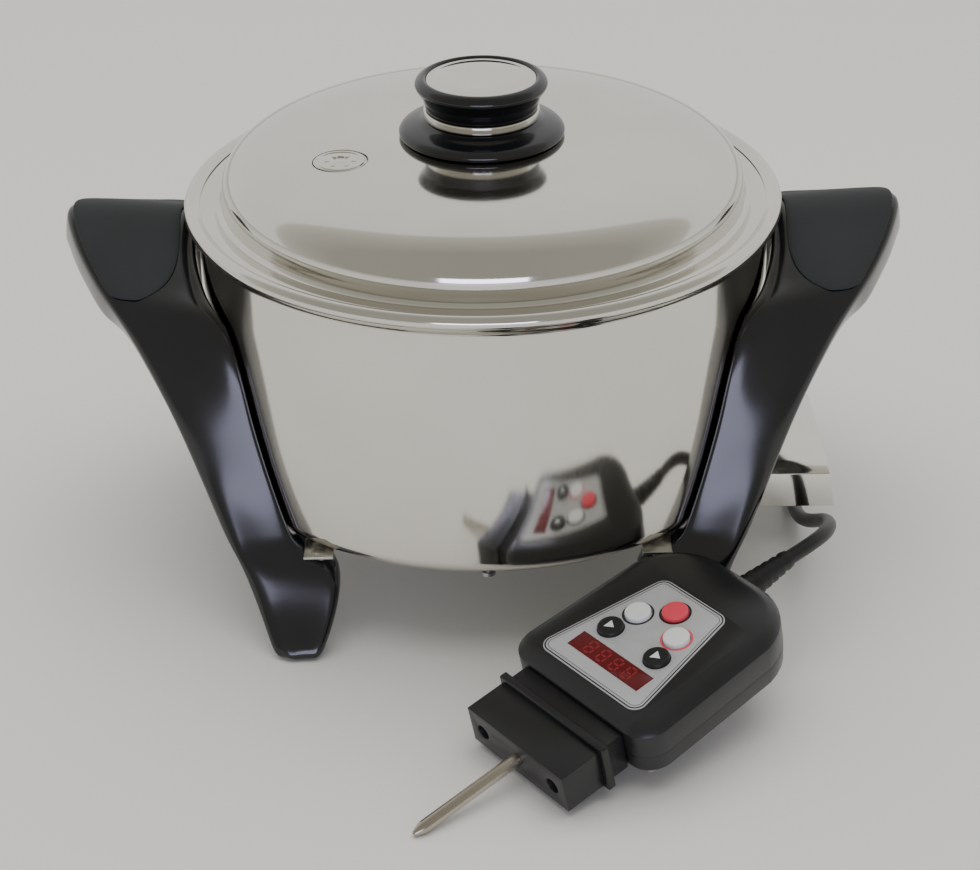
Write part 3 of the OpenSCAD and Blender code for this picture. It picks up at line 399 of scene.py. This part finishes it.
finished(spun(vessel_profile, 192), "vessel", polished_steel, "base",
         ["pot_body"], smooth=30)

# %% [markdown]
# ## The lid
# The lid is drawn from one disc: nearly flat on top, falling ever faster to its edge, then a
# narrow neck and a flat flange that rests in the vessel. A small round seat is cut for the
# vent valve.

# %% Lid
DOME_R, DOME_H, DOME_Z, LID_T = 109, 21.5, 162, 1.2
NECK_R, FLANGE_R, FLANGE_Z, BEAD_R = 111.5, 118.3, 158.2, 116.7
VALVE_X, VALVE_Y, VALVE_Z, VALVE_R = -57.4, -27, 181.6, 11
SEAT_R = VALVE_R + 0.4


def dome_line(radius, height, count=72):
    """The dome from its middle to its edge, closer together near the edge."""
    shares = [math.sin(math.pi / 2 * k / count) for k in range(count + 1)]
    return [(s * radius, DOME_Z + height * max(0, 1 - s ** 6) ** 0.4) for s in shares]


lid_profile = (
    dome_line(DOME_R, DOME_H)
    + [(DOME_R + 0.1, DOME_Z - 1), (DOME_R + 0.3, DOME_Z - 2), (NECK_R - 2, FLANGE_Z + 0.6),
       (NECK_R - 1.3, FLANGE_Z), (NECK_R - 0.6, FLANGE_Z - 0.5), (NECK_R, FLANGE_Z - 0.7),
       (NECK_R + 0.8, FLANGE_Z - 0.5), (NECK_R + 2, FLANGE_Z - 0.1), (FLANGE_R - 1, FLANGE_Z),
       (FLANGE_R, FLANGE_Z - 0.3), (FLANGE_R, FLANGE_Z - LID_T), (BEAD_R, FLANGE_Z - LID_T),
       (BEAD_R, FLANGE_Z - LID_T - 1), (NECK_R - 1, FLANGE_Z - LID_T - 2),
       (DOME_R - LID_T, FLANGE_Z - 1)]
    + dome_line(DOME_R - LID_T, DOME_H - LID_T, 40)[::-1])
lid = finished(spun(lid_profile, 192), "lid", polished_steel, "lid",
               ["lid_shell"], smooth=30)

# %% The valve's seat
AT_VALVE = POT @ Matrix.Translation((VALVE_X * MM, VALVE_Y * MM, VALVE_Z * MM))
cutter_mesh = bpy.data.meshes.new("seat_cutter")
cutter_bm = spun([(0, 0), (SEAT_R, 0), (SEAT_R, 8), (0, 8)], 64, AT_VALVE)
cutter_bm.to_mesh(cutter_mesh)
cutter_bm.free()
cutter = bpy.data.objects.new("seat_cutter", cutter_mesh)
bpy.context.scene.collection.objects.link(cutter)
cut = lid.modifiers.new("seat", "BOOLEAN")
cut.operation, cut.object, cut.solver = "DIFFERENCE", cutter, "EXACT"
graph = bpy.context.evaluated_depsgraph_get()
cut_mesh = bpy.data.meshes.new_from_object(lid.evaluated_get(graph))
lid.modifiers.clear()
lid.data = cut_mesh
bpy.data.objects.remove(cutter)
seat = spun([(2.4, -LID_T), (SEAT_R + 1.2, -LID_T), (SEAT_R + 1.2, 0.1), (SEAT_R, 0.1),
             (SEAT_R, 0), (2.4, 0)], 64, AT_VALVE)
finished(seat, "valve_seat", polished_steel, "lid")

# %% [markdown]
# ## The vent valve
# A polished cap lies in the seat, flush with the dome. Its face has a raised rim and six low
# bosses round a ring, so fingers can lift it. The stem goes down through the lid's grommet.

# %% Valve cap
cap = spun(
    [(0, 1.75), (2.2, 1.75), (2.6, 1.5), (VALVE_R - 2.3, 1.5), (VALVE_R - 2, 1.8),
     (VALVE_R - 1.2, 1.8), (VALVE_R - 0.9, 1.5), (VALVE_R - 0.3, 1.5), (VALVE_R, 1.2),
     (VALVE_R, 0.02), (2.1, 0.02), (2.1, -3.8), (4, -3.8), (4, -4.7), (0, -4.7)], 64, AT_VALVE)
for k in range(6):
    turn = Matrix.Rotation(math.radians(60 * k), 4, "Z") @ Matrix.Translation((5.4 * MM, 0, 0))
    joined(cap, spun([(0, 1.85), (0.8, 1.8), (1.3, 1.6), (1.5, 1.4), (0, 1.4)], 24,
                     AT_VALVE @ turn))
finished(cap, "vent_cap", polished_steel, "vent_valve", ["valve_cap"])

# %% [markdown]
# ## The knob
# Four turned pieces are stacked on a brass bush: a black bell that keeps fingers off the hot
# lid, a polished steel band, a waisted black grip and a steel disc let into its top.

# %% Knob
BELL_Z, BAND_Z, GRIP_Z, GRIP_TOP = 182.6, 191.6, 195.0, 208.6
BELL_R, BAND_R, KNOB_R, DISC_R, BUSH_R = 34.4, 24, 27.4, 22.7, 5


def rounded(profile, radius, count=4):
    """Rounds a closed profile's corners by cutting each with a short curve."""
    out = []
    for i, (x, z) in enumerate(profile):
        here = Vector((x, z))
        before, after = Vector(profile[i - 1]), Vector(profile[(i + 1) % len(profile)])
        if x <= BUSH_R + 0.01:
            out.append((x, z))
            continue
        p = here + (before - here).normalized() * min(radius, (before - here).length * 0.45)
        q = here + (after - here).normalized() * min(radius, (after - here).length * 0.45)
        for k in range(count + 1):
            t = k / count
            out.append(tuple((1 - t) ** 2 * p + 2 * t * (1 - t) * here + t * t * q))
    return out


bell = rounded([
    (BUSH_R, BELL_Z + 1.6), (9, BELL_Z + 1.6), (BELL_R - 7, BELL_Z + 1.7),
    (BELL_R - 4, BELL_Z + 0.9), (BELL_R - 1.2, BELL_Z + 0.9), (BELL_R, BELL_Z + 2.1),
    (BELL_R, BELL_Z + 3.4), (BELL_R - 1.6, BELL_Z + 5.1), (BELL_R - 5, BELL_Z + 6.3),
    (BAND_R + 1.6, BELL_Z + 7.3), (BAND_R - 1, BELL_Z + 9), (BUSH_R, BELL_Z + 9)], 1.6)
finished(spun(bell, 128), "bell", black_phenolic, "lid", ["knob_bell"])
band = rounded([(BUSH_R, BAND_Z), (BAND_R, BAND_Z), (BAND_R, BAND_Z + 3.4),
                (BUSH_R, BAND_Z + 3.4)], 0.6)
finished(spun(band, 128), "band", polished_steel, "lid", ["knob_band"])
grip_h = GRIP_TOP - GRIP_Z
waisted = rounded([
    (BUSH_R, GRIP_Z), (BAND_R - 1, GRIP_Z), (BAND_R - 0.4, GRIP_Z + 2),
    (BAND_R + 0.6, GRIP_Z + grip_h * 0.4), (KNOB_R - 0.8, GRIP_Z + grip_h * 0.62),
    (KNOB_R, GRIP_Z + grip_h * 0.72), (KNOB_R, GRIP_Z + grip_h * 0.8),
    (KNOB_R - 1, GRIP_Z + grip_h * 0.92),
    (DISC_R + 1.4, GRIP_TOP), (DISC_R + 0.1, GRIP_TOP - 0.8), (DISC_R + 0.1, GRIP_TOP - 2),
    (BUSH_R, GRIP_TOP - 2)], 1.1)
finished(spun(waisted, 128), "grip", black_phenolic, "lid", ["knob_grip"])
disc_z = GRIP_TOP - 2
disc = [(0, disc_z), (DISC_R, disc_z), (DISC_R, disc_z + 0.9), (DISC_R - 0.5, disc_z + 1.3),
        (DISC_R - 2.2, disc_z + 1.38), (DISC_R - 2.5, disc_z + 1.26),
        (DISC_R - 2.9, disc_z + 1.26), (DISC_R - 3.2, disc_z + 1.42),
        (DISC_R * 0.6, disc_z + 1.6), (0, disc_z + 1.7)]
finished(spun(disc, 128), "top_disc", polished_steel, "lid", ["knob_disc"])

# %% [markdown]
# ## The handles
# Each handle is one phenolic moulding: an open channel that arches over the side of the vessel
# and ends in two feet. The frame's own moulding is welded and divided twice, which rounds every
# corner as a mould does. A soft dull pad lies on the deck, where the hand holds it.

# %% Handles
ANY_ANGLE = 3.1


def arched(node, name, material):
    """A smooth moulding from a frame part: welded, quads restored and subdivided."""
    bm = bmesh.new()
    bm.from_mesh(nodes[node].data)
    bmesh.ops.remove_doubles(bm, verts=bm.verts, dist=WELD)
    bmesh.ops.join_triangles(bm, faces=bm.faces, angle_face_threshold=ANY_ANGLE,
                             angle_shape_threshold=ANY_ANGLE)
    piece = finished(bm, name, material, "base", [node], smooth=180)
    divide = piece.modifiers.new("smooth", "SUBSURF")
    divide.levels = divide.render_levels = 2
    return piece


for side in ("left", "right"):
    arched("handle_" + side, "handle_arch_" + side, black_phenolic)
    arched("grip_" + side, "soft_patch_" + side, soft_grip)

# %% [markdown]
# ## The socket's hood and the base
# The hood is one folded sheet that shields the live pins. Its small parts are cut and folded
# sheet too, so their edges only need the fold's own radius.

# %% Hood, box and small steel parts
for node, name, material, slot, width in [
        ("socket_guard", "hood", polished_steel, "satin_steel", 0.35),
        ("terminal_box", "socket_box", satin_steel, "satin_steel", 0.3),
        ("terminal_insulator", "pin_carrier", steatite, "ceramic", 0.5),
        ("bracket_left", "angle_left", satin_steel, "satin_steel", 0.4),
        ("bracket_right", "angle_right", satin_steel, "satin_steel", 0.4),
        ("leg_tabs", "ledge_tabs", satin_steel, "satin_steel", 0.3),
        ("foot_pads", "rubber_feet", case_rubber, "rubber_black", 0.8)]:
    finished(welded(node, width), name, material, "base", [node])

# %% [markdown]
# ## The controller
# Two ABS shells meet at a seam. A silver-grey overlay with a thin double outline carries the
# display and five buttons. The nose has a wider collar and a thick plug head with two contact
# holes, and the probe stands out of the middle.

# %% Case shells
finished(welded("upper_case", 0.8, 30), "case_top", case_abs, "controller",
         ["upper_case"], smooth=35)
finished(welded("lower_case", 0.6, 30), "case_bottom", case_abs, "controller",
         ["lower_case"], smooth=35)
finished(welded("plug_collar", 0.6), "collar", head_abs, "controller",
         ["plug_collar"])
finished(welded("plug_head", 0.7), "socket_plug", head_abs, "controller",
         ["plug_head"])

# %% The strain relief and the probe
RELIEF_START, PROBE_START, PROBE_Z = -47.8, 30, -15.5
RELIEF = CASE @ Matrix.Translation((RELIEF_START * MM, 0, RELIEF_Z * MM)) @ Matrix.Rotation(
    -math.pi / 2, 4, "Y")
relief = [(0, 0), (5.3, 0), (5.3, 2), (3.9, 2), (3.9, 4.4), (5.7, 4.4)]
for k in range(5):
    z, r = 6.5 + 4 * k, 5.6 - 0.33 * k
    relief += [(r, z), (r, z + 1.9), (r - 0.7, z + 2.3), (r - 0.75, z + 3.4)]
relief += [(4.1, 27.4), (3.6, 30.2), (0, 30.2)]
finished(spun(relief, 64, RELIEF), "cord_relief", head_abs, "controller",
         ["strain_relief"])
PROBE = CASE @ Matrix.Translation((PROBE_START * MM, 0, PROBE_Z * MM)) @ Matrix.Rotation(
    math.pi / 2, 4, "Y")
probe = [(0, 0), (2.6, 0), (2.6, 81), (2.45, 82), (1.5, 84.6), (1.05, 85.6), (0.6, 86), (0, 86)]
finished(spun(probe, 48, PROBE), "probe", probe_steel, "controller",
         ["probe_stem"])

# %% The overlay and its printed outline
TOP_Z = -1.2
OUTLINE_Z, RING_Z, DIGIT_Z = TOP_Z + 0.23, TOP_Z + 0.22, TOP_Z + 0.34
PANEL_L, PANEL_BACK, PANEL_FRONT, CORNER_R = 58, 19, 28.2, 5


def plate_outline(inset):
    """The overlay's outline pulled in by an inset, as points on the case's face."""
    line = []
    for x, hw, start in ((PANEL_L / 2, PANEL_FRONT, 0), (-PANEL_L / 2, PANEL_BACK, 90),
                         (-PANEL_L / 2, -PANEL_BACK, 180), (PANEL_L / 2, -PANEL_FRONT, 270)):
        cx, cy = x - math.copysign(CORNER_R, x), hw - math.copysign(CORNER_R, hw)
        for k in range(9):
            a = math.radians(start + 90 * k / 8)
            line.append(CASE @ (Vector((cx + (CORNER_R - inset) * math.cos(a),
                                        cy + (CORNER_R - inset) * math.sin(a), OUTLINE_Z)) * MM))
    return line


def printed_line(outer, inner):
    """A thin printed band between two insets of the overlay's outline."""
    bm = bmesh.new()
    loops = []
    for inset in (outer, inner):
        verts = [bm.verts.new(p) for p in plate_outline(inset)]
        loops += [bm.edges.new(pair) for pair in zip(verts, verts[1:] + verts[:1])]
    bmesh.ops.bridge_loops(bm, edges=loops)
    for face in bm.faces:
        if face.normal.z < 0:
            face.normal_flip()
    return bm


finished(welded("panel_plate", 0.12), "overlay", overlay_grey, "controller",
         ["panel_plate"])
outline = printed_line(0.5, 1.1)
joined(outline, printed_line(1.9, 2.15))
finished(outline, "overlay_outline", outline_black, "controller")

# %% [markdown]
# ## Display and buttons
# The window is dark red acrylic, and four unlit digits show faintly in it. The off button is
# red and the time and temperature buttons are white, each with a ring printed round it. The two
# others are black and carry a white triangle.

# %% Display
WINDOW_X = 16.4
finished(welded("display_window", 0.25), "window", window_red, "controller",
         ["display_window"])


def flat_shape(corners, x, y, z, turn):
    """A thin flat shape on the case's face; corners are in millimetres about its middle."""
    bm = bmesh.new()
    face = bm.faces.new([bm.verts.new((a * MM, b * MM, 0)) for a, b in corners])
    if face.normal.z < 0:
        face.normal_flip()
    place = (CASE @ Matrix.Translation((x * MM, y * MM, z * MM))
             @ Matrix.Rotation(math.radians(turn), 4, "Z"))
    bmesh.ops.transform(bm, matrix=place, verts=bm.verts)
    return bm


def segment(length):
    """A long hexagon, one segment of a digit."""
    half, wide = length / 2, 0.42
    return [(-half, 0), (-half + wide, wide), (half - wide, wide), (half, 0),
            (half - wide, -wide), (-half + wide, -wide)]


digits = bmesh.new()
for place in (-10.8, -3.6, 3.6, 10.8):
    for along_x, along_y, turn in ((3, 0, 90), (0, 0, 90), (-3, 0, 90), (1.5, 1.8, 0),
                                   (1.5, -1.8, 0), (-1.5, 1.8, 0), (-1.5, -1.8, 0)):
        joined(digits, flat_shape(segment(2.7), WINDOW_X + along_x, place + along_y, DIGIT_Z,
                                  turn))
finished(digits, "digits", digit_red, "controller")


# %% Buttons
BUTTON_R, RING_IN, RING_OUT, ARROW_Z = 5.2, 5.6, 6.4, 0.72


def on_face(x, y, z):
    """The place of a point on the case's face."""
    return CASE @ Matrix.Translation((x * MM, y * MM, z * MM))


def flat_ring(x, y):
    """A thin printed ring on the face, round a button."""
    return spun([(RING_IN, 0), (RING_OUT, 0), (RING_OUT, 0.05), (RING_IN, 0.05)], 64,
                on_face(x, y, RING_Z))


cap_profile = [(0, 0.62), (3.4, 0.66), (4.6, 0.7), (BUTTON_R - 0.25, 0.62), (BUTTON_R, 0.3),
               (BUTTON_R, -4.1), (BUTTON_R + 0.9, -4.1), (BUTTON_R + 0.9, -4.2), (1.5, -4.2),
               (1.5, -5.6), (0, -5.6)]
arrow = [(-1.5, -2.2), (2.2, 0), (-1.5, 2.2)]
for word, x, y, cap_paint, slot, ring_paint in [
        ("off", -17.8, 0, cap_red, "button_red", outline_black),
        ("time", -8.2, -11, cap_white, "button_white", outline_black),
        ("temp", -8.2, 11, cap_white, "button_pink", cap_red),
        ("up", 4.2, -13.2, cap_black, "button_black", None),
        ("down", 4.2, 13.2, cap_black, "button_black", None)]:
    finished(spun(cap_profile, 64, on_face(x, y, 0)), "cap_" + word, cap_paint,
             "button_" + word, ["button_" + word])
    if ring_paint:
        finished(flat_ring(x, y), "ring_" + word, ring_paint, "controller")
    else:
        finished(flat_shape(arrow, x, y, ARROW_Z, 90), "arrow_" + word, cap_white,
                 "button_" + word)

# %% [markdown]
# ## Parts that keep the frame's own shape
# The inner parts and plain fasteners already have the right shape, so they only need their
# finishes.

# %% Finishes for the frame's own parts
for material, names in [
        (cast_aluminium, ("core_plate", "sensor_block")),
        (element_sheath, ("heating_element",)),
        (satin_steel, ("base_cover", "thermowell", "terminal_pins")),
        (screw_steel, ("base_screws", "guard_screws", "leg_screws", "bracket_screws",
                       "knob_screw", "case_screws")),
        (red_silicone, ("knob_gasket",)), (case_rubber, ("valve_grommet",)),
        (contact_brass, ("knob_insert", "contact_sleeves", "contact_straps")),
        (steatite, ("probe_sensor",)), (board_green, ("circuit_board",)),
        (relay_blue, ("relay",)), (dark_part, ("capacitor", "tact_switches", "display_module"))]:
    for name in names:
        mesh = nodes[name].data
        mesh.materials.clear()
        mesh.materials.append(material)
        mesh.polygons.foreach_set("use_smooth", [True] * len(mesh.polygons))
        mesh.set_sharp_from_angle(angle=math.radians(35))

# %% [markdown]
# ## Floor and light
# Polished steel is only as good as what it reflects: a wide pale floor, a bright wall behind,
# and a warmer, darker room above and in front. One long low lamp in front draws the streaks
# down the handles, and a large lamp overhead only lights what is dull.

# %% Floor
floor_bm = bmesh.new()
bmesh.ops.create_grid(floor_bm, x_segments=1, y_segments=1, size=6)
floor_mesh = bpy.data.meshes.new("floor")
floor_bm.to_mesh(floor_mesh)
floor_bm.free()
floor = bpy.data.objects.new("floor", floor_mesh)
bpy.context.scene.collection.objects.link(floor)
floor_paint, _, shader, _ = new_surface("pale_matt_floor")
shader.inputs["Base Color"].default_value = linear("#f4f4f3")
shader.inputs["Roughness"].default_value = 0.8
floor_mesh.materials.append(floor_paint)

# %% Sky
# A slanted edge divides the sky: the wall behind is bright, the room above and in front is not.
BACK_SHARE, UP_SHARE = 0.87, 0.5
world = bpy.data.worlds.new("studio")
bpy.context.scene.world = world
world.use_nodes = True
tree = world.node_tree
background = tree.nodes["Background"]
way = tree.nodes.new("ShaderNodeTexCoord").outputs["Generated"]
split = add_node(tree, "ShaderNodeSeparateXYZ", links={"Vector": way})
back = add_node(tree, "ShaderNodeMath", {"operation": "MULTIPLY", 1: BACK_SHARE},
                {0: split.outputs["Y"]})
up = add_node(tree, "ShaderNodeMath", {"operation": "MULTIPLY", 1: UP_SHARE},
              {0: split.outputs["Z"]})
behind = add_node(tree, "ShaderNodeMath", {"operation": "SUBTRACT"},
                  {0: back.outputs["Value"], 1: up.outputs["Value"]})
shifted = add_node(tree, "ShaderNodeMath", {"operation": "ADD", 1: 0.5},
                   {0: behind.outputs["Value"]})
sky = set_ramp(add_node(tree, "ShaderNodeValToRGB", links={"Fac": shifted.outputs["Value"]}),
               [(0.0, linear("#a5a39b")), (0.3, linear("#b9b7af")), (0.485, linear("#cbc9c1")),
                (0.515, linear("#efefed")), (1.0, linear("#f4f4f3"))])
tree.links.new(sky.outputs["Color"], background.inputs["Color"])
background.inputs["Strength"].default_value = 1.0


# %% Lamps
def soft_lamp(name, place, aim, size, power, colour, mirrored=True):
    """A rectangular lamp that faces a point; mirrored says whether steel shows it."""
    lamp = bpy.data.lights.new(name, "AREA")
    lamp.shape, lamp.size, lamp.size_y = "RECTANGLE", size[0], size[1]
    lamp.energy, lamp.color = power, linear(colour)[:3]
    piece = bpy.data.objects.new(name, lamp)
    piece.location = place
    piece.rotation_euler = (Vector(aim) - Vector(place)).to_track_quat("-Z", "Y").to_euler()
    piece.visible_glossy = mirrored
    bpy.context.scene.collection.objects.link(piece)


soft_lamp("overhead", (0, 0.1, 2.2), (0, 0, 0), (2.4, 2.4), 30, "#fffdf8", mirrored=False)
soft_lamp("low_box", (0, -2.6, 0.42), (0, 0, 0.12), (1.7, 0.6), 16, "#dcdcff")
